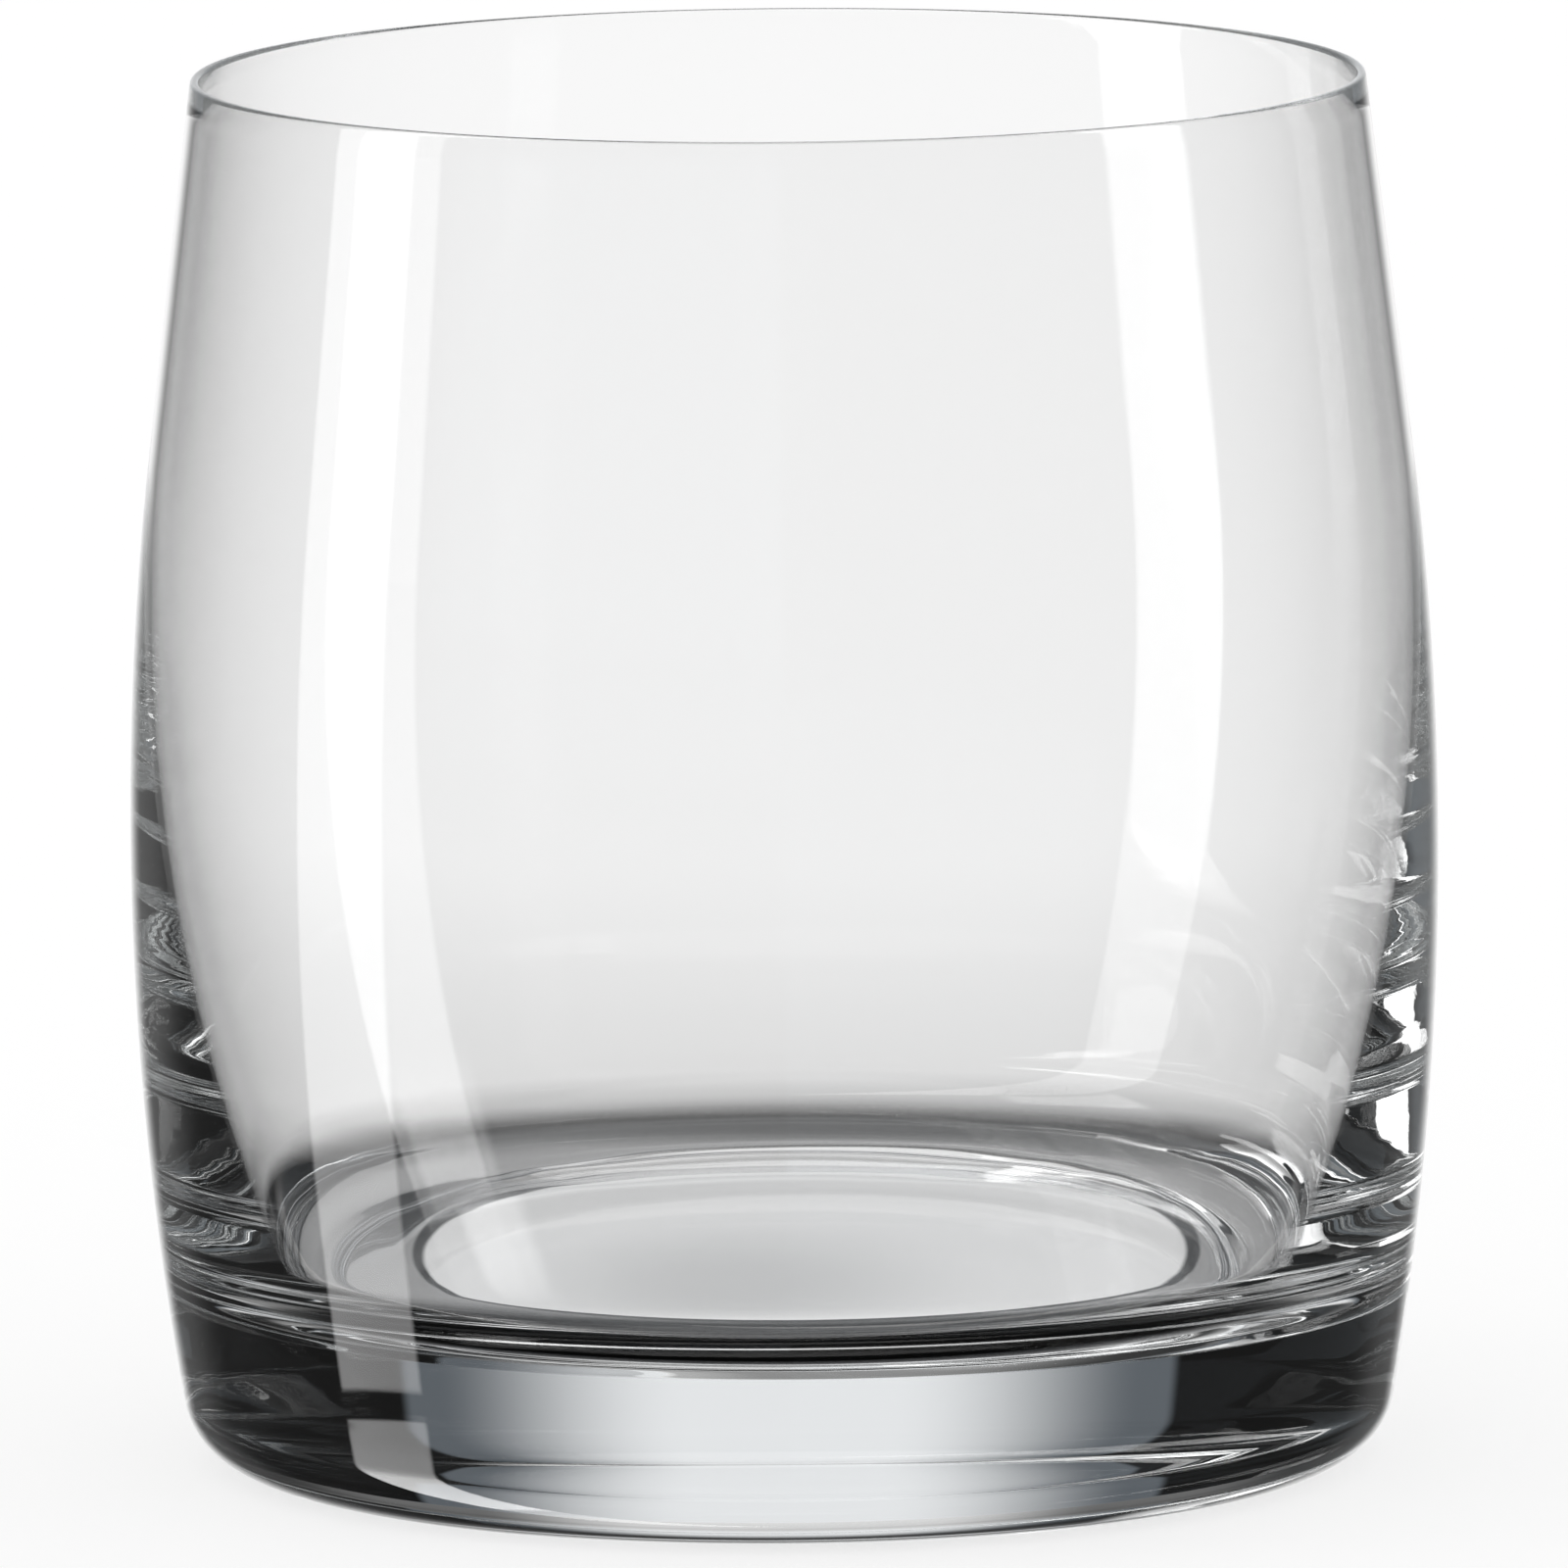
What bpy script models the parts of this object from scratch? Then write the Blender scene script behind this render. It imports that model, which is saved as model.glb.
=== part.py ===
"""Whiskey tumbler: a barrel-shaped drinking glass with a heavy base, blown in one piece."""
import math

import bpy

# Outside, in metres: a barrel with a straight upper wall and a rounded heel
HEIGHT = 0.0851
BODY_DIAMETER = 0.080
BELLY_HEIGHT = 0.0380
BARREL_ARC_RADIUS = 0.2045
SHOULDER_HEIGHT = 0.0624
HEEL_RADIUS = 0.0045

# Underside: a narrow flat foot ring round a shallow hollow with a flat roof
FOOT_RING_WIDTH = 0.0012
FOOT_EDGE_RADIUS = 0.0003
HOLLOW_DEPTH = 0.0018
HOLLOW_STEEPNESS = math.radians(78)

# Inside: a thin upper wall that thickens downwards into the base
RIM_WALL = 0.0006
CAVITY_SHOULDER_HEIGHT = 0.0620
CAVITY_ARC_RADIUS = 0.115
BASE_THICKNESS = 0.0100
FLOOR_ARC_RADIUS = 0.0080
FLOOR_CONE_LENGTH = 0.0032
FLOOR_CORNER_RADIUS = 0.0060
FLOOR_RISE = math.radians(12)

# How finely the round stretches are drawn
TURN_STEPS = 72
BARREL_SEGMENTS = 10
CORNER_SEGMENTS = 5
EDGE_SEGMENTS = 4

GLASS_COLOUR = (0.93, 0.95, 0.94, 1.0)
GLASS_ROUGHNESS = 0.0
GLASS_IOR = 1.52


def arc(centre, radius, start, end, segments):
    """Points (radius, height) along a circular arc, both ends included."""
    points = []
    for step in range(segments + 1):
        angle = start + (end - start) * step / segments
        points.append((centre[0] + radius * math.cos(angle), centre[1] + radius * math.sin(angle)))
    return points


def direction(start, end):
    """Angle of the line from one point of the section to another."""
    return math.atan2(end[1] - start[1], end[0] - start[0])


def tumbler_section():
    """Half section of the glass, from the middle of its floor up, over the rim and down outside."""
    lean = math.asin((SHOULDER_HEIGHT - BELLY_HEIGHT) / BARREL_ARC_RADIUS)
    lip_radius = RIM_WALL / 2

    # The outer barrel bulges out to half the body diameter at the belly
    barrel_centre = (BODY_DIAMETER / 2 - BARREL_ARC_RADIUS, BELLY_HEIGHT)
    shoulder_radius = barrel_centre[0] + BARREL_ARC_RADIUS * math.cos(lean)

    # The rounded lip joins the two straight upper walls, half a wall inside the outer one
    lip_height = HEIGHT - lip_radius
    outer_at_lip = shoulder_radius - (lip_height - SHOULDER_HEIGHT) * math.tan(lean)
    lip_centre = (outer_at_lip - lip_radius / math.cos(lean), lip_height)

    # The heel is tangent to the barrel and to the foot plane
    heel_reach = BARREL_ARC_RADIUS - HEEL_RADIUS
    heel_drop = BELLY_HEIGHT - HEEL_RADIUS
    heel_centre = (barrel_centre[0] + math.sqrt(heel_reach ** 2 - heel_drop ** 2), HEEL_RADIUS)
    heel_start = direction(barrel_centre, heel_centre)

    # Inside the foot ring the underside turns up and back again into the flat roof of the hollow
    foot_edge_centre = (heel_centre[0] - FOOT_RING_WIDTH, FOOT_EDGE_RADIUS)
    roof_arc_radius = HOLLOW_DEPTH / (1 - math.cos(HOLLOW_STEEPNESS)) - FOOT_EDGE_RADIUS
    hollow_width = (FOOT_EDGE_RADIUS + roof_arc_radius) * math.sin(HOLLOW_STEEPNESS)
    roof_centre = (foot_edge_centre[0] - hollow_width, HOLLOW_DEPTH - roof_arc_radius)

    # The inner barrel is tangent to the straight inner wall at its own shoulder
    inner_at_lip = lip_centre[0] - lip_radius / math.cos(lean)
    inner_shoulder = inner_at_lip + (lip_height - CAVITY_SHOULDER_HEIGHT) * math.tan(lean)
    cavity_centre = (
        inner_shoulder - CAVITY_ARC_RADIUS * math.cos(lean),
        CAVITY_SHOULDER_HEIGHT - CAVITY_ARC_RADIUS * math.sin(lean),
    )

    # The flat floor turns up into a short shallow cone, and a round corner joins that to the wall
    cone_top = FLOOR_ARC_RADIUS * (1 - math.cos(FLOOR_RISE)) + FLOOR_CONE_LENGTH * math.sin(FLOOR_RISE)
    corner_height = BASE_THICKNESS + cone_top + FLOOR_CORNER_RADIUS * math.cos(FLOOR_RISE)
    corner_reach = CAVITY_ARC_RADIUS - FLOOR_CORNER_RADIUS
    corner_drop = cavity_centre[1] - corner_height
    corner_centre = (cavity_centre[0] + math.sqrt(corner_reach ** 2 - corner_drop ** 2), corner_height)
    wall_end = direction(cavity_centre, corner_centre)
    cone_end = corner_centre[0] + FLOOR_CORNER_RADIUS * math.sin(FLOOR_RISE)
    cone_start = cone_end - FLOOR_CONE_LENGTH * math.cos(FLOOR_RISE)
    floor_radius = cone_start - FLOOR_ARC_RADIUS * math.sin(FLOOR_RISE)
    floor_centre = (floor_radius, BASE_THICKNESS + FLOOR_ARC_RADIUS)

    down = -math.pi / 2
    up = math.pi / 2
    rise_end = down + FLOOR_RISE
    section = [(0.0, BASE_THICKNESS)]
    section += arc(floor_centre, FLOOR_ARC_RADIUS, down, rise_end, CORNER_SEGMENTS)
    section += arc(corner_centre, FLOOR_CORNER_RADIUS, rise_end, wall_end, CORNER_SEGMENTS)
    section += arc(cavity_centre, CAVITY_ARC_RADIUS, wall_end, lean, BARREL_SEGMENTS)[1:]
    section += arc(lip_centre, lip_radius, math.pi + lean, lean, EDGE_SEGMENTS)
    section += arc(barrel_centre, BARREL_ARC_RADIUS, lean, heel_start, BARREL_SEGMENTS)
    section += arc(heel_centre, HEEL_RADIUS, heel_start, down, CORNER_SEGMENTS)[1:]
    section += arc(foot_edge_centre, FOOT_EDGE_RADIUS, down, down - HOLLOW_STEEPNESS, EDGE_SEGMENTS)
    section += arc(roof_centre, roof_arc_radius, up - HOLLOW_STEEPNESS, up, CORNER_SEGMENTS)[1:]
    section.append((0.0, HOLLOW_DEPTH))
    return section


def glass_material():
    """Clear colourless glass with a fire-polished surface."""
    material = bpy.data.materials.new("clear_glass")
    material.use_nodes = True
    shader = material.node_tree.nodes["Principled BSDF"]
    shader.inputs["Base Color"].default_value = GLASS_COLOUR
    shader.inputs["Roughness"].default_value = GLASS_ROUGHNESS
    shader.inputs["IOR"].default_value = GLASS_IOR
    shader.inputs["Transmission Weight"].default_value = 1.0
    return material


def turned(name, section, collection):
    """A solid turned about the Z axis from its half section."""
    mesh = bpy.data.meshes.new(name)
    points = [(radius, 0.0, height) for radius, height in section]
    edges = [(index, index + 1) for index in range(len(points) - 1)]
    mesh.from_pydata(points, edges, [])
    body = bpy.data.objects.new(name, mesh)
    collection.objects.link(body)
    screw = body.modifiers.new("turn", "SCREW")
    screw.axis = "Z"
    screw.angle = 2 * math.pi
    screw.steps = TURN_STEPS
    screw.render_steps = TURN_STEPS
    screw.use_merge_vertices = True
    screw.merge_threshold = 0.00001
    screw.use_smooth_shade = True
    return body


for item in list(bpy.data.objects):
    bpy.data.objects.remove(item, do_unlink=True)

tumbler = bpy.data.collections.new("whiskey_tumbler")
bpy.context.scene.collection.children.link(tumbler)

glass = turned("tumbler_glass", tumbler_section(), tumbler)
glass.data.materials.append(glass_material())
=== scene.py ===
"""A barrel-shaped whiskey tumbler of clear glass, standing on a pale studio table."""
import math

import bpy
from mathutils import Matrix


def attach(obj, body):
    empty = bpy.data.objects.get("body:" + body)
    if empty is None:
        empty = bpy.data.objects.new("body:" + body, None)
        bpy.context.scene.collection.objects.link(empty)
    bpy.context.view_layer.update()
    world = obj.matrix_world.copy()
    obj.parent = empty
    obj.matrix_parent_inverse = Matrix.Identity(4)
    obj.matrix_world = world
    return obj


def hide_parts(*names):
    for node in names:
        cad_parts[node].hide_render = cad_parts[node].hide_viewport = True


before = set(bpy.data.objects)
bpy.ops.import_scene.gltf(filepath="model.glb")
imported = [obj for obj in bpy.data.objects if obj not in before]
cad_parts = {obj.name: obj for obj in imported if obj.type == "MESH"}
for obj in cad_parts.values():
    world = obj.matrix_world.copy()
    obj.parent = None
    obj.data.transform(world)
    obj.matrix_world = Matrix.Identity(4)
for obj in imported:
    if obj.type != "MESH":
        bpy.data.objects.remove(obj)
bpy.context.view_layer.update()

# The tumbler is one gather of clear soda-lime glass, blown into a turning mould. The wall is thin
# at the fire-polished lip and thickens downwards into a heavy solid base, and nothing is joined on.
HEIGHT = 0.0851
BELLY_RADIUS = 0.0400
BELLY_HEIGHT = 0.0380
BARREL_RADIUS = 0.2045
SHOULDER_HEIGHT = 0.0624
HEEL_RADIUS = 0.0045
FOOT_RING_WIDTH = 0.0012
FOOT_EDGE_RADIUS = 0.0003
HOLLOW_DEPTH = 0.0018
HOLLOW_STEEPNESS = math.radians(78)
LIP_RADIUS = 0.0003
CAVITY_SHOULDER = 0.0620
CAVITY_RADIUS = 0.115
BASE_THICKNESS = 0.0100
FLOOR_ARC_RADIUS = 0.0080
FLOOR_CONE_LENGTH = 0.0032
CORNER_RADIUS = 0.0060
FLOOR_RISE = math.radians(12)
TURN_SEGMENTS = 192
AXIS_OFFSET = 0.001
# The floor of the bowl has set a little to one side
FLOOR_SHIFT = 0.0013
SHIFT_FULL = 0.0255
SHIFT_NONE = 0.0315
INSIDE_HEIGHT = 0.008
# The turning mould leaves faint level rings on the lower wall
RING_DEPTH = 0.000006
RING_SPACING = 0.0018
RING_DETAIL = 2.0
RINGS_FULL = 0.020
RINGS_NONE = 0.036
NOISE_MIDDLE = 0.5
WELD_DISTANCE = 0.000002
GLASS_IOR = 1.52
GLASS_TINT = "#d0d3d2"
GLASS_TINT_DENSITY = 4.0
WHITE = "#ffffff"


def bearing(start, end):
    """Angle of the line from one point of the half section to another."""
    return math.atan2(end[1] - start[1], end[0] - start[0])


def tumbler_stretches():
    """The half section from the middle of the floor up, over the lip and down to the underside.

    Each stretch has a name, a kind, its shape and the number of steps it is drawn in.
    """
    lean = math.asin((SHOULDER_HEIGHT - BELLY_HEIGHT) / BARREL_RADIUS)
    barrel = (BELLY_RADIUS - BARREL_RADIUS, BELLY_HEIGHT)
    shoulder = (barrel[0] + BARREL_RADIUS * math.cos(lean), SHOULDER_HEIGHT)
    lip_height = HEIGHT - LIP_RADIUS
    outer_at_lip = shoulder[0] - (lip_height - SHOULDER_HEIGHT) * math.tan(lean)
    lip = (outer_at_lip - LIP_RADIUS / math.cos(lean), lip_height)
    lip_out = (lip[0] + LIP_RADIUS * math.cos(lean), lip[1] + LIP_RADIUS * math.sin(lean))
    lip_in = (lip[0] - LIP_RADIUS * math.cos(lean), lip[1] - LIP_RADIUS * math.sin(lean))

    heel_reach = math.sqrt((BARREL_RADIUS - HEEL_RADIUS) ** 2 - (BELLY_HEIGHT - HEEL_RADIUS) ** 2)
    heel = (barrel[0] + heel_reach, HEEL_RADIUS)
    heel_start = bearing(barrel, heel)
    hollow_edge = heel[0] - FOOT_RING_WIDTH
    # The foot ring turns up and back again into the flat roof of the hollow
    hollow_turn = HOLLOW_DEPTH / (1 - math.cos(HOLLOW_STEEPNESS)) - FOOT_EDGE_RADIUS
    foot_edge = (hollow_edge, FOOT_EDGE_RADIUS)
    roof_edge = hollow_edge - (FOOT_EDGE_RADIUS + hollow_turn) * math.sin(HOLLOW_STEEPNESS)
    roof_turn = (roof_edge, HOLLOW_DEPTH - hollow_turn)

    inner_at_lip = lip[0] - LIP_RADIUS / math.cos(lean)
    inner_shoulder = inner_at_lip + (lip_height - CAVITY_SHOULDER) * math.tan(lean)
    cavity_top = (inner_shoulder, CAVITY_SHOULDER)
    cavity = (
        inner_shoulder - CAVITY_RADIUS * math.cos(lean),
        CAVITY_SHOULDER - CAVITY_RADIUS * math.sin(lean),
    )
    # The flat floor turns up into a shallow cone, and a round corner joins that to the inner barrel
    rise_in, rise_up = math.sin(FLOOR_RISE), math.cos(FLOOR_RISE)
    cone_base = BASE_THICKNESS + FLOOR_ARC_RADIUS * (1 - rise_up)
    cone_top = cone_base + FLOOR_CONE_LENGTH * rise_in
    corner_height = cone_top + CORNER_RADIUS * rise_up
    corner_arc = CAVITY_RADIUS - CORNER_RADIUS
    corner_reach = math.sqrt(corner_arc ** 2 - (cavity[1] - corner_height) ** 2)
    corner = (cavity[0] + corner_reach, corner_height)
    wall_end = bearing(cavity, corner)
    cone_end = (corner[0] + CORNER_RADIUS * rise_in, cone_top)
    cone = (cone_end[0] - FLOOR_CONE_LENGTH * rise_up, cone_base)
    floor_radius = cone[0] - FLOOR_ARC_RADIUS * rise_in
    floor_arc = (floor_radius, BASE_THICKNESS + FLOOR_ARC_RADIUS)

    down = -math.pi / 2
    up = math.pi / 2
    turn = down + FLOOR_RISE
    return [
        ("Floor", "line", (0.0, BASE_THICKNESS), (floor_radius, BASE_THICKNESS), 12),
        ("Floor edge", "arc", floor_arc, FLOOR_ARC_RADIUS, down, turn, 12),
        ("Floor cone", "line", cone, cone_end, 8),
        ("Inner corner", "arc", corner, CORNER_RADIUS, turn, wall_end, 20),
        ("Inner barrel", "arc", cavity, CAVITY_RADIUS, wall_end, lean, 64),
        ("Inner wall", "line", cavity_top, lip_in, 12),
        ("Lip", "arc", lip, LIP_RADIUS, math.pi + lean, lean, 10),
        ("Outer wall", "line", lip_out, shoulder, 14),
        ("Outer barrel", "arc", barrel, BARREL_RADIUS, lean, heel_start, 200),
        ("Heel", "arc", heel, HEEL_RADIUS, heel_start, down, 20),
        ("Foot ring", "line", (heel[0], 0.0), (hollow_edge, 0.0), 4),
        ("Foot edge", "arc", foot_edge, FOOT_EDGE_RADIUS, down, down - HOLLOW_STEEPNESS, 10),
        ("Hollow edge", "arc", roof_turn, hollow_turn, up - HOLLOW_STEEPNESS, up, 12),
        ("Hollow roof", "line", (roof_edge, HOLLOW_DEPTH), (0.0, HOLLOW_DEPTH), 12),
    ]


def add(tree, kind, sockets=None, **settings):
    """Adds a node, sets it, and fills or links its input sockets."""
    made = tree.nodes.new(kind)
    for name, value in settings.items():
        setattr(made, name, value)
    for socket, value in (sockets or {}).items():
        if isinstance(value, bpy.types.NodeSocket):
            tree.links.new(value, made.inputs[socket])
        else:
            made.inputs[socket].default_value = value
    return made


def size_input(tree, values, name, kind, value):
    """Adds a named input to the tree and keeps the value that the modifier gives it."""
    socket = tree.interface.new_socket(name, in_out="INPUT", socket_type=kind)
    values[socket.identifier] = value


def turned_glass_tree(material):
    """A tree that draws the half section and turns it once round the upright axis."""
    tree = bpy.data.node_groups.new("turned_tumbler", "GeometryNodeTree")
    tree.interface.new_socket("Geometry", in_out="OUTPUT", socket_type="NodeSocketGeometry")
    values = {}
    size_input(tree, values, "Turn segments", "NodeSocketInt", TURN_SEGMENTS)
    size_input(tree, values, "Axis offset", "NodeSocketFloat", AXIS_OFFSET)
    size_input(tree, values, "Floor shift", "NodeSocketFloat", FLOOR_SHIFT)
    size_input(tree, values, "Ring depth", "NodeSocketFloat", RING_DEPTH)
    size_input(tree, values, "Ring spacing", "NodeSocketFloat", RING_SPACING)
    stretches = tumbler_stretches()
    for name, kind, *shape in stretches:
        if kind == "line":
            size_input(tree, values, name + " from", "NodeSocketVector", (*shape[0], 0.0))
            size_input(tree, values, name + " to", "NodeSocketVector", (*shape[1], 0.0))
        else:
            size_input(tree, values, name + " centre", "NodeSocketVector", (*shape[0], 0.0))
            size_input(tree, values, name + " radius", "NodeSocketFloat", shape[1])
            size_input(tree, values, name + " start", "NodeSocketFloat", shape[2])
            size_input(tree, values, name + " sweep", "NodeSocketFloat", shape[3] - shape[2])
        size_input(tree, values, name + " steps", "NodeSocketInt", shape[-1])
    given = add(tree, "NodeGroupInput").outputs

    section = add(tree, "GeometryNodeJoinGeometry")
    for name, kind, *shape in reversed(stretches):
        count = add(tree, "ShaderNodeMath", {0: given[name + " steps"], 1: 1.0}, operation="ADD")
        if kind == "line":
            line = add(tree, "GeometryNodeCurvePrimitiveLine",
                       {"Start": given[name + " from"], "End": given[name + " to"]})
            stretch = add(tree, "GeometryNodeResampleCurve",
                          {"Curve": line.outputs[0], "Count": count.outputs[0]})
        else:
            arc = add(tree, "GeometryNodeCurveArc",
                      {"Resolution": count.outputs[0], "Radius": given[name + " radius"],
                       "Start Angle": given[name + " start"],
                       "Sweep Angle": given[name + " sweep"]})
            stretch = add(tree, "GeometryNodeTransform",
                          {"Geometry": arc.outputs[0], "Translation": given[name + " centre"]})
        if name == "Outer barrel":
            point = add(tree, "GeometryNodeInputPosition").outputs[0]
            level = add(tree, "ShaderNodeSeparateXYZ", {0: point}).outputs["Y"]
            along = add(tree, "ShaderNodeMath", {0: level, 1: given["Ring spacing"]},
                        operation="DIVIDE")
            noise = add(tree, "ShaderNodeTexNoise",
                        {"W": along.outputs[0], "Scale": 1.0, "Detail": RING_DETAIL},
                        noise_dimensions="1D")
            wave = add(tree, "ShaderNodeMath", {0: noise.outputs[0], 1: NOISE_MIDDLE},
                       operation="SUBTRACT")
            depth = add(tree, "ShaderNodeMapRange",
                        {"Value": level, "From Min": RINGS_FULL, "From Max": RINGS_NONE,
                         "To Min": given["Ring depth"], "To Max": 0.0},
                        interpolation_type="SMOOTHSTEP")
            push = add(tree, "ShaderNodeMath", {0: wave.outputs[0], 1: depth.outputs[0]},
                       operation="MULTIPLY")
            outward = add(tree, "ShaderNodeCombineXYZ", {"X": push.outputs[0]})
            stretch = add(tree, "GeometryNodeSetPosition",
                          {"Geometry": stretch.outputs[0], "Offset": outward.outputs[0]})
        tree.links.new(stretch.outputs[0], section.inputs[0])

    # The section is swept along a small circle, so it is moved in by that circle's radius
    inward = add(tree, "ShaderNodeVectorMath",
                 {0: (-1.0, 0.0, 0.0), "Scale": given["Axis offset"]}, operation="SCALE")
    placed = add(tree, "GeometryNodeTransform",
                 {"Geometry": section.outputs[0], "Translation": inward.outputs[0],
                  "Scale": (1.0, -1.0, 1.0)})
    circle = add(tree, "GeometryNodeCurvePrimitiveCircle",
                 {"Resolution": given["Turn segments"], "Radius": given["Axis offset"]})
    swept = add(tree, "GeometryNodeCurveToMesh",
                {"Curve": circle.outputs[0], "Profile Curve": placed.outputs[0]})
    joined = add(tree, "GeometryNodeMergeByDistance",
                 {"Geometry": swept.outputs[0], "Distance": WELD_DISTANCE})
    # The floor is moved sideways, less and less towards the inner wall
    point = add(tree, "GeometryNodeInputPosition").outputs[0]
    level = add(tree, "ShaderNodeSeparateXYZ", {0: point}).outputs["Z"]
    flat = add(tree, "ShaderNodeVectorMath", {0: point, 1: (1.0, 1.0, 0.0)}, operation="MULTIPLY")
    radius = add(tree, "ShaderNodeVectorMath", {0: flat.outputs[0]}, operation="LENGTH")
    inside = add(tree, "FunctionNodeCompare", {0: level, 1: INSIDE_HEIGHT},
                 operation="GREATER_THAN")
    share = add(tree, "ShaderNodeMapRange",
                {"Value": radius.outputs["Value"], "From Min": SHIFT_FULL, "From Max": SHIFT_NONE,
                 "To Min": given["Floor shift"], "To Max": 0.0},
                interpolation_type="SMOOTHSTEP")
    aside = add(tree, "ShaderNodeCombineXYZ", {"X": share.outputs[0]})
    settled = add(tree, "GeometryNodeSetPosition",
                  {"Geometry": joined.outputs[0], "Selection": inside.outputs[0],
                   "Offset": aside.outputs[0]})
    smooth = add(tree, "GeometryNodeSetShadeSmooth", {"Geometry": settled.outputs[0]})
    real = add(tree, "GeometryNodeRealizeInstances", {"Geometry": smooth.outputs[0]})
    finished = add(tree, "GeometryNodeSetMaterial",
                   {"Geometry": real.outputs[0], "Material": material})
    add(tree, "NodeGroupOutput", {0: finished.outputs[0]})
    return tree, values


def linear(hex_colour):
    """Linear RGBA of an sRGB hex colour."""
    channels = [int(hex_colour[at:at + 2], 16) / 255 for at in (1, 3, 5)]
    return (*[c / 12.92 if c <= 0.04045 else ((c + 0.055) / 1.055) ** 2.4 for c in channels], 1.0)


def blown_soda_lime_glass():
    """Clear fire-polished glass: mirror smooth, with a faint cool tint where it is thick."""
    material = bpy.data.materials.new("blown_soda_lime_glass")
    material.use_nodes = True
    tree = material.node_tree
    shader = tree.nodes["Principled BSDF"]
    shader.inputs["Base Color"].default_value = linear(WHITE)
    shader.inputs["Roughness"].default_value = 0.0
    shader.inputs["IOR"].default_value = GLASS_IOR
    shader.inputs["Transmission Weight"].default_value = 1.0
    tint = add(tree, "ShaderNodeVolumeAbsorption",
               {"Color": linear(GLASS_TINT), "Density": GLASS_TINT_DENSITY})
    output = tree.nodes["Material Output"]
    tree.links.new(tint.outputs[0], output.inputs["Volume"])
    return material


glass = blown_soda_lime_glass()
glass_tree, glass_sizes = turned_glass_tree(glass)
seed_mesh = bpy.data.meshes.new("tumbler_seed")
maker = bpy.data.objects.new("tumbler_maker", seed_mesh)
bpy.context.scene.collection.objects.link(maker)
turning = maker.modifiers.new("turned tumbler", "NODES")
turning.node_group = glass_tree
for identifier, value in glass_sizes.items():
    turning[identifier] = value
bpy.context.view_layer.update()
evaluated = maker.evaluated_get(bpy.context.evaluated_depsgraph_get())
tumbler_mesh = bpy.data.meshes.new_from_object(evaluated)
tumbler_mesh.name = "blown_tumbler"
bpy.data.objects.remove(maker)
tumbler = bpy.data.objects.new("blown_tumbler", tumbler_mesh)
bpy.context.scene.collection.objects.link(tumbler)
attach(tumbler, "root")
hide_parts("tumbler_glass")

# The table is a plain board painted matt white. The glass stands free on it, and soft light from
# all round leaves only a faint shadow at the foot.
# Seen through the glass, the board also carries painted light and painted shadow under and round
# the foot.
TABLE_HALF_SIZE = 4.0
TABLE_DROP = 0.0001
TABLE_LIGHT = 0.75
BOARD_WHITE = "#fdfdfd"
# Seen through the glass, a painted pool of light lies under the base in an oval patch, with painted
# shade in the middle. A painted shadow makes a thin dark ring round the patch, where the edge of
# the bowl's floor would cast it.
LIT_MIDDLE = (0.0012, 0.0105, 0.0)
LIT_REACH = (0.0253, 0.0225, 1.0)
LIT_EDGES = (0.985, 1.005)
RING_EDGES = (1.035, 1.07)
LIT_LEVEL = 0.90
DIM_MIDDLE = (-0.0035, 0.003, 0.0)
DIM_EDGES = (0.002, 0.018)
DIM_LEVEL = 0.65
# Outside the ring, painted light stands for some light still coming through the base, but none at
# its front
FOOT_EDGES = (0.036, 0.0392)
FOOT_LEVELS = (0.36, 0.12)
FOOT_FRONT = (-0.018, -0.004)
# Round the foot the table carries a painted shadow, which thins out in steps: start, end and share
SHADE_STEPS = ((0.0396, 0.050, 0.48), (0.046, 0.064, 0.24), (0.060, 0.150, 0.16))
# A ray's depth is a whole number, and one below this limit hasn't entered the glass
NOT_ENTERED = 0.5


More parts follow.
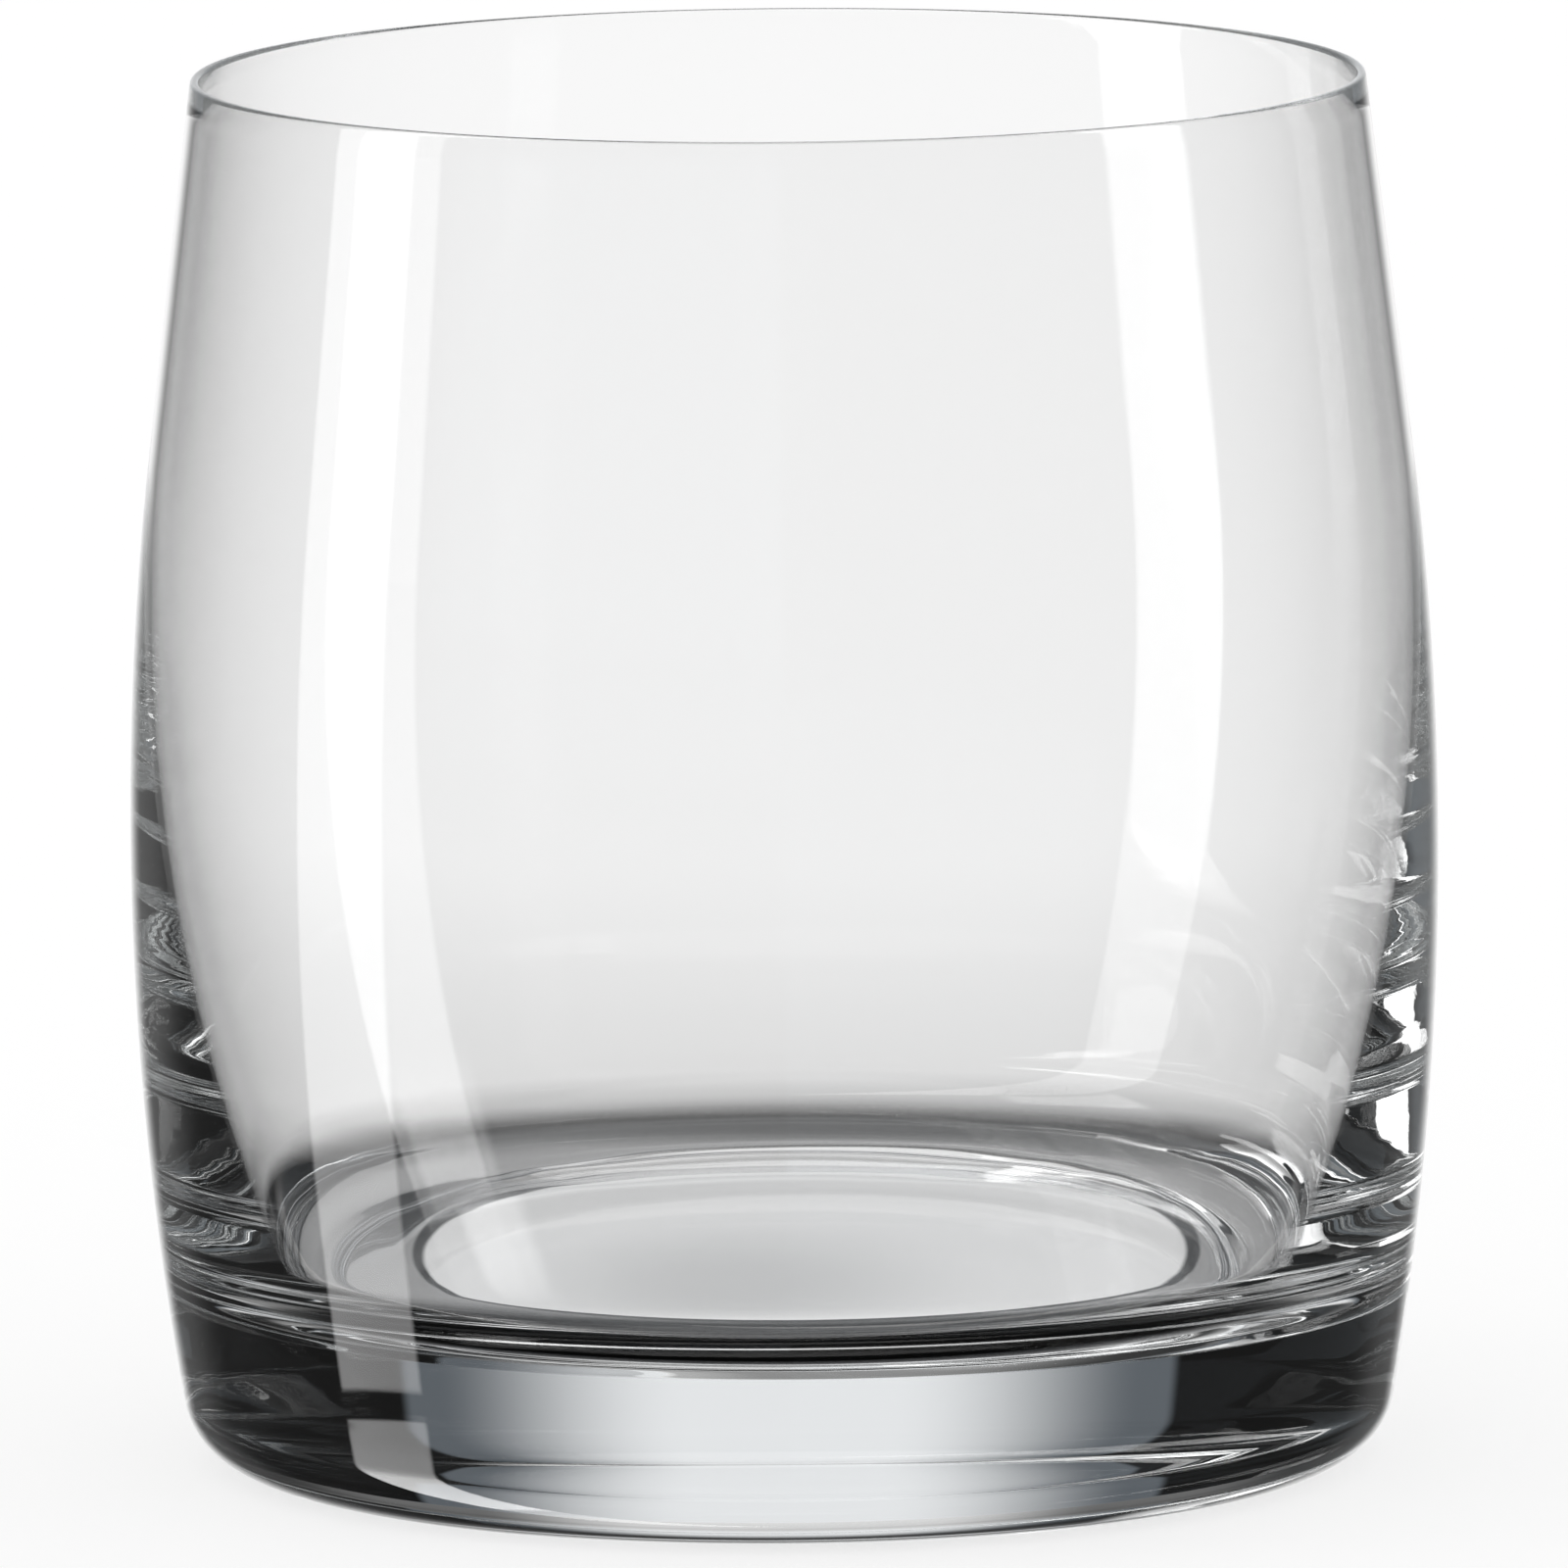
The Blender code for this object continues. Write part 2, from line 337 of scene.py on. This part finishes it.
def matt_white_board_painted_light():
    """White to the eye. Past its foot the glass sees the studio through it, dimmed near the foot by
    painted light and shade.
    """
    material = bpy.data.materials.new("matt_white_board_painted_light")
    material.use_nodes = True
    tree = material.node_tree
    tree.nodes.clear()
    path = add(tree, "ShaderNodeLightPath").outputs
    spot = add(tree, "ShaderNodeTexCoord").outputs["Object"]
    patch = add(tree, "ShaderNodeMapping",
                {"Vector": spot, "Location": LIT_MIDDLE, "Scale": LIT_REACH}, vector_type="TEXTURE")
    off_middle = add(tree, "ShaderNodeVectorMath", {0: patch.outputs[0]}, operation="LENGTH")
    off_dim = add(tree, "ShaderNodeVectorMath", {0: spot, 1: DIM_MIDDLE}, operation="DISTANCE")
    off_axis = add(tree, "ShaderNodeVectorMath", {0: spot}, operation="LENGTH")
    # The painted pool of light under the base, with painted shade in its middle
    in_painted_pool = add(tree, "ShaderNodeMapRange",
                {"Value": off_middle.outputs["Value"], "From Min": LIT_EDGES[0],
                 "From Max": LIT_EDGES[1], "To Min": 1.0, "To Max": 0.0},
                interpolation_type="SMOOTHSTEP").outputs[0]
    painted_pool_level = add(tree, "ShaderNodeMapRange",
                    {"Value": off_dim.outputs["Value"], "From Min": DIM_EDGES[0],
                     "From Max": DIM_EDGES[1], "To Min": DIM_LEVEL, "To Max": LIT_LEVEL},
                    interpolation_type="SMOOTHSTEP").outputs[0]
    # Painted shadow: the thin dark ring round the pool, then painted light beyond it that fades out
    # at the front
    ring = add(tree, "ShaderNodeMapRange",
               {"Value": off_middle.outputs["Value"], "From Min": RING_EDGES[0],
                "From Max": RING_EDGES[1]}, interpolation_type="SMOOTHSTEP").outputs[0]
    depth = add(tree, "ShaderNodeSeparateXYZ", {0: spot}).outputs["Y"]
    behind = add(tree, "ShaderNodeMapRange",
                 {"Value": depth, "From Min": FOOT_FRONT[0], "From Max": FOOT_FRONT[1],
                  "To Min": 0.0, "To Max": ring}, interpolation_type="SMOOTHSTEP").outputs[0]
    foot = add(tree, "ShaderNodeMapRange",
               {"Value": off_axis.outputs["Value"], "From Min": FOOT_EDGES[0],
                "From Max": FOOT_EDGES[1], "To Min": FOOT_LEVELS[0], "To Max": FOOT_LEVELS[1]},
               interpolation_type="SMOOTHSTEP").outputs[0]
    painted_light_round = add(tree, "ShaderNodeMath", {0: foot, 1: behind}, operation="MULTIPLY").outputs[0]
    # Painted shadow round the foot, thinning out in steps
    for start, end, share in SHADE_STEPS:
        step = add(tree, "ShaderNodeMapRange",
                   {"Value": off_axis.outputs["Value"], "From Min": start, "From Max": end,
                    "To Min": 0.0, "To Max": share}, interpolation_type="SMOOTHSTEP")
        painted_light_round = add(tree, "ShaderNodeMath", {0: painted_light_round, 1: step.outputs[0]},
                        operation="ADD").outputs[0]
    level = add(tree, "ShaderNodeMix", {"Factor": in_painted_pool, "A": painted_light_round, "B": painted_pool_level}).outputs[0]
    # Mirrored in the outside of the glass, the board shows the studio at its full level, free of
    # the painted light and shade
    outside = add(tree, "ShaderNodeMath", {0: path["Transmission Depth"], 1: NOT_ENTERED},
                  operation="LESS_THAN").outputs[0]
    shown = add(tree, "ShaderNodeMix", {"Factor": outside, "A": level, "B": 1.0}).outputs[0]
    painted_light_tone = add(tree, "ShaderNodeCombineColor", {0: shown, 1: shown, 2: shown}).outputs[0]
    matt = add(tree, "ShaderNodeBsdfDiffuse", {"Color": linear(BOARD_WHITE)})
    lit = add(tree, "ShaderNodeEmission", {"Color": linear(WHITE), "Strength": 1.0})
    white = add(tree, "ShaderNodeMixShader",
                {0: TABLE_LIGHT, 1: matt.outputs[0], 2: lit.outputs[0]})
    # Rays from the glass pass the board, dimmed by its painted light and shade
    clear = add(tree, "ShaderNodeBsdfTransparent", {"Color": painted_light_tone})
    in_glass = add(tree, "ShaderNodeMath",
                   {0: path["Glossy Depth"], 1: path["Transmission Depth"]}, operation="ADD")
    mixed = add(tree, "ShaderNodeMixShader",
                {0: in_glass.outputs[0], 1: white.outputs[0], 2: clear.outputs[0]})
    add(tree, "ShaderNodeOutputMaterial", {"Surface": mixed.outputs[0]})
    return material


table_mesh = bpy.data.meshes.new("table")
half = TABLE_HALF_SIZE
table_corners = [(-half, -half, -TABLE_DROP), (half, -half, -TABLE_DROP),
                 (half, half, -TABLE_DROP), (-half, half, -TABLE_DROP)]
table_mesh.from_pydata(table_corners, [], [(0, 1, 2, 3)])
table_mesh.materials.append(matt_white_board_painted_light())
table = bpy.data.objects.new("table", table_mesh)
bpy.context.scene.collection.objects.link(table)

# The studio is a white room with black flags: a lit backdrop behind the glass, a tall softbox at
# the left and a light overhead. The glass mirrors and bends all of them.
OPEN = (None, None)
HORIZON = (-4.5, -2)
COOL_WHITE = "#e5f2ff"
COOL_GREY = "#e2edf6"
# The edges of the softbox as the outside of the glass mirrors them, and as the inside does
SOFTBOX_OUT = ((-105.6, -104.2), (-85.5, -84.2))
SOFTBOX_IN = ((-111.2, -109.8), (-90.4, -89.2))
# The lower edge of the softbox slopes
SOFTBOX_LEAN = -0.085
# Each light: its rays, how its bearing is counted from straight behind the glass, the bearings and
# heights (degrees) where it starts and ends, its level and its tint
STUDIO = (
    ("backdrop", "any", "either", OPEN, (27.3, 28.7), HORIZON, (30, 38), 0.150, COOL_WHITE),
    ("backdrop base", "through base", "either", OPEN, (6, 25), HORIZON, (30, 38), 0.805, WHITE),
    ("backdrop bowl", "deep", "either", OPEN, (6, 25), HORIZON, (30, 38), 0.36, WHITE),
    ("room", "any", "either", OPEN, OPEN, HORIZON, OPEN, 0.008, WHITE),
    ("room right", "any", "signed", (84, 115), OPEN, HORIZON, OPEN, 0.035, WHITE),
    ("room left", "any", "signed", OPEN, (-122, -107), HORIZON, OPEN, 0.22, COOL_GREY),
    ("overhead", "any", "either", OPEN, OPEN, (54, 64), OPEN, 0.9, WHITE),
    ("left top", "any", "signed", (-80, -70), (-38, -28), (34, 40), (54, 64), 0.8, WHITE),
    ("softbox", "first", "signed", *SOFTBOX_OUT, OPEN, OPEN, 2.5, WHITE),
    ("softbox inside", "later", "signed", *SOFTBOX_IN, OPEN, OPEN, 1.4, WHITE),
    ("softbox foot", "first", "signed", *SOFTBOX_OUT, OPEN, (-16, -9), 0.8, WHITE),
    ("softbox gap", "first", "leaning", *SOFTBOX_OUT, (-14.65, -14.4), (-13.7, -13.4), -3.3, WHITE),
    ("softbox in table", "first", "leaning", *SOFTBOX_OUT, (-53, -49), (-22, -14.5), 6.0, WHITE),
    ("softbox mid", "later", "signed", *SOFTBOX_IN, (-44.5, -42.5), (-33, -20), 2.2, WHITE),
    ("softbox head", "later", "signed", *SOFTBOX_IN, (-42, -22), OPEN, 0.8, WHITE),
    ("softbox top", "later", "signed", (-90, -84), (-69, -64), (37, 40.5), (62, 66), 2.6, WHITE),
    ("softbox low", "later", "signed",
     (-115, -112), (-95, -92), (-44.5, -42.5), (-40, -31), 3.2, WHITE),
    ("softbox base", "later", "signed",
     (-119, -114), (-102, -98), (-58, -50), (-44.5, -42.5), 5.5, WHITE),
    ("softbox seen", "straight", "signed", *SOFTBOX_OUT, HORIZON, OPEN, 2.0, WHITE),
    ("wall light", "trapped", "either", OPEN, OPEN, OPEN, OPEN, 0.25, WHITE),
    ("table seen", "straight", "either", OPEN, OPEN, OPEN, HORIZON, 1.02, WHITE),
    ("table mirrored", "mirrored", "either", OPEN, OPEN, (-70, -8), HORIZON, 0.04, WHITE),
    ("table sides", "mirrored", "either", OPEN, (30, 48), (-70, -8), HORIZON, 0.16, WHITE),
    ("table back", "mirrored", "either", OPEN, (8, 22), (-70, -8), HORIZON, 0.75, WHITE),
)


def studio_world():
    """The room as the glass mirrors it; to the eye itself it is plain white."""
    world = bpy.data.worlds.new("studio")
    world.use_nodes = True
    tree = world.node_tree
    tree.nodes.clear()
    path = add(tree, "ShaderNodeLightPath").outputs
    ray = add(tree, "ShaderNodeTexCoord").outputs["Generated"]
    look = add(tree, "ShaderNodeSeparateXYZ", {0: ray}).outputs
    turn = add(tree, "ShaderNodeMath", {0: look["X"], 1: look["Y"]}, operation="ARCTAN2").outputs[0]
    either = add(tree, "ShaderNodeMath", {0: turn}, operation="ABSOLUTE").outputs[0]
    height = add(tree, "ShaderNodeMath", {0: look["Z"]}, operation="ARCSINE").outputs[0]
    leaning = add(tree, "ShaderNodeMath", {0: turn, 1: SOFTBOX_LEAN, 2: height},
                  operation="MULTIPLY_ADD").outputs[0]
    measures = {"either": (either, height), "signed": (turn, height), "leaning": (turn, leaning)}

    # Which rays see a light, by how often they were mirrored and how often they passed a surface.
    # Both counts are whole numbers, so each limit lies half-way between two of them.
    rays = {"any": 1.0}
    for name, at, kind, limit in (
            ("mirrored", "Glossy Depth", "GREATER_THAN", 0.5),
            ("straight", "Glossy Depth", "LESS_THAN", 0.5),
            ("outside", "Transmission Depth", "LESS_THAN", 0.5),
            ("inside", "Transmission Depth", "GREATER_THAN", 0.5),
            ("through base", "Transmission Depth", "LESS_THAN", 2.5),
            ("deep", "Transmission Depth", "GREATER_THAN", 2.5),
            ("trapped", "Glossy Depth", "GREATER_THAN", 30.5)):
        rays[name] = add(tree, "ShaderNodeMath", {0: path[at], 1: limit}, operation=kind).outputs[0]
    for name, one, other in (("first", "mirrored", "outside"), ("later", "mirrored", "inside")):
        rays[name] = add(tree, "ShaderNodeMath", {0: rays[one], 1: rays[other]},
                         operation="MULTIPLY").outputs[0]

    total = (0.0, 0.0, 0.0)
    for name, seen_by, side, left, right, low, high, level, tint in STUDIO:
        share = rays[seen_by]
        across, up = measures[side]
        for value, start, end, at_start in (
                (across, *left, 0.0), (across, *right, 1.0), (up, *low, 0.0), (up, *high, 1.0)):
            if start is None:
                continue
            edge = add(tree, "ShaderNodeMapRange",
                       {"Value": value, "From Min": math.radians(start),
                        "From Max": math.radians(end),
                        "To Min": at_start, "To Max": 1.0 - at_start},
                       interpolation_type="SMOOTHSTEP")
            share = add(tree, "ShaderNodeMath", {0: share, 1: edge.outputs[0]},
                        operation="MULTIPLY").outputs[0]
        colour = tuple(level * channel for channel in linear(tint)[:3])
        total = add(tree, "ShaderNodeVectorMath", {0: share, 1: colour, 2: total},
                    label=name, operation="MULTIPLY_ADD").outputs[0]
    plain = add(tree, "ShaderNodeMath", {0: path["Is Camera Ray"], 1: path["Is Diffuse Ray"]},
                operation="MAXIMUM").outputs[0]
    seen = add(tree, "ShaderNodeMix", {"Factor": plain, "A": total, "B": (1.0, 1.0, 1.0)},
               data_type="VECTOR")
    light = add(tree, "ShaderNodeBackground", {"Color": seen.outputs["Result"], "Strength": 1.0})
    add(tree, "ShaderNodeOutputWorld", {"Surface": light.outputs[0]})
    return world


bpy.context.scene.world = studio_world()

# The camera stands well back in front of the glass and a little above it, with a long lens that
# keeps the sides of the barrel from converging.
VIEW_TARGET_HEIGHT = 0.041355
VIEW_DISTANCE = 1.4771
VIEW_ELEVATION = 0.14425781
VIEW_ROLL = -0.0088
VIEW_SENSOR = 36.0
VIEW_LENS = 554.3
# Light is mirrored to and fro many times inside the thin wall
GLASS_BOUNCES = 128
view = bpy.data.cameras.new("view")
view.sensor_width = VIEW_SENSOR
view.lens = VIEW_LENS
camera = bpy.data.objects.new("view", view)
bpy.context.scene.collection.objects.link(camera)
camera.location = (
    0.0,
    -VIEW_DISTANCE * math.cos(VIEW_ELEVATION),
    VIEW_TARGET_HEIGHT + VIEW_DISTANCE * math.sin(VIEW_ELEVATION),
)
camera.rotation_euler = (math.pi / 2 - VIEW_ELEVATION, 0.0, 0.0)
camera.rotation_euler.rotate_axis("Z", VIEW_ROLL)
bpy.context.scene.camera = camera
bpy.context.scene.view_settings.view_transform = "Standard"
bpy.context.scene.cycles.max_bounces = GLASS_BOUNCES
bpy.context.scene.cycles.glossy_bounces = GLASS_BOUNCES
bpy.context.scene.cycles.transmission_bounces = GLASS_BOUNCES
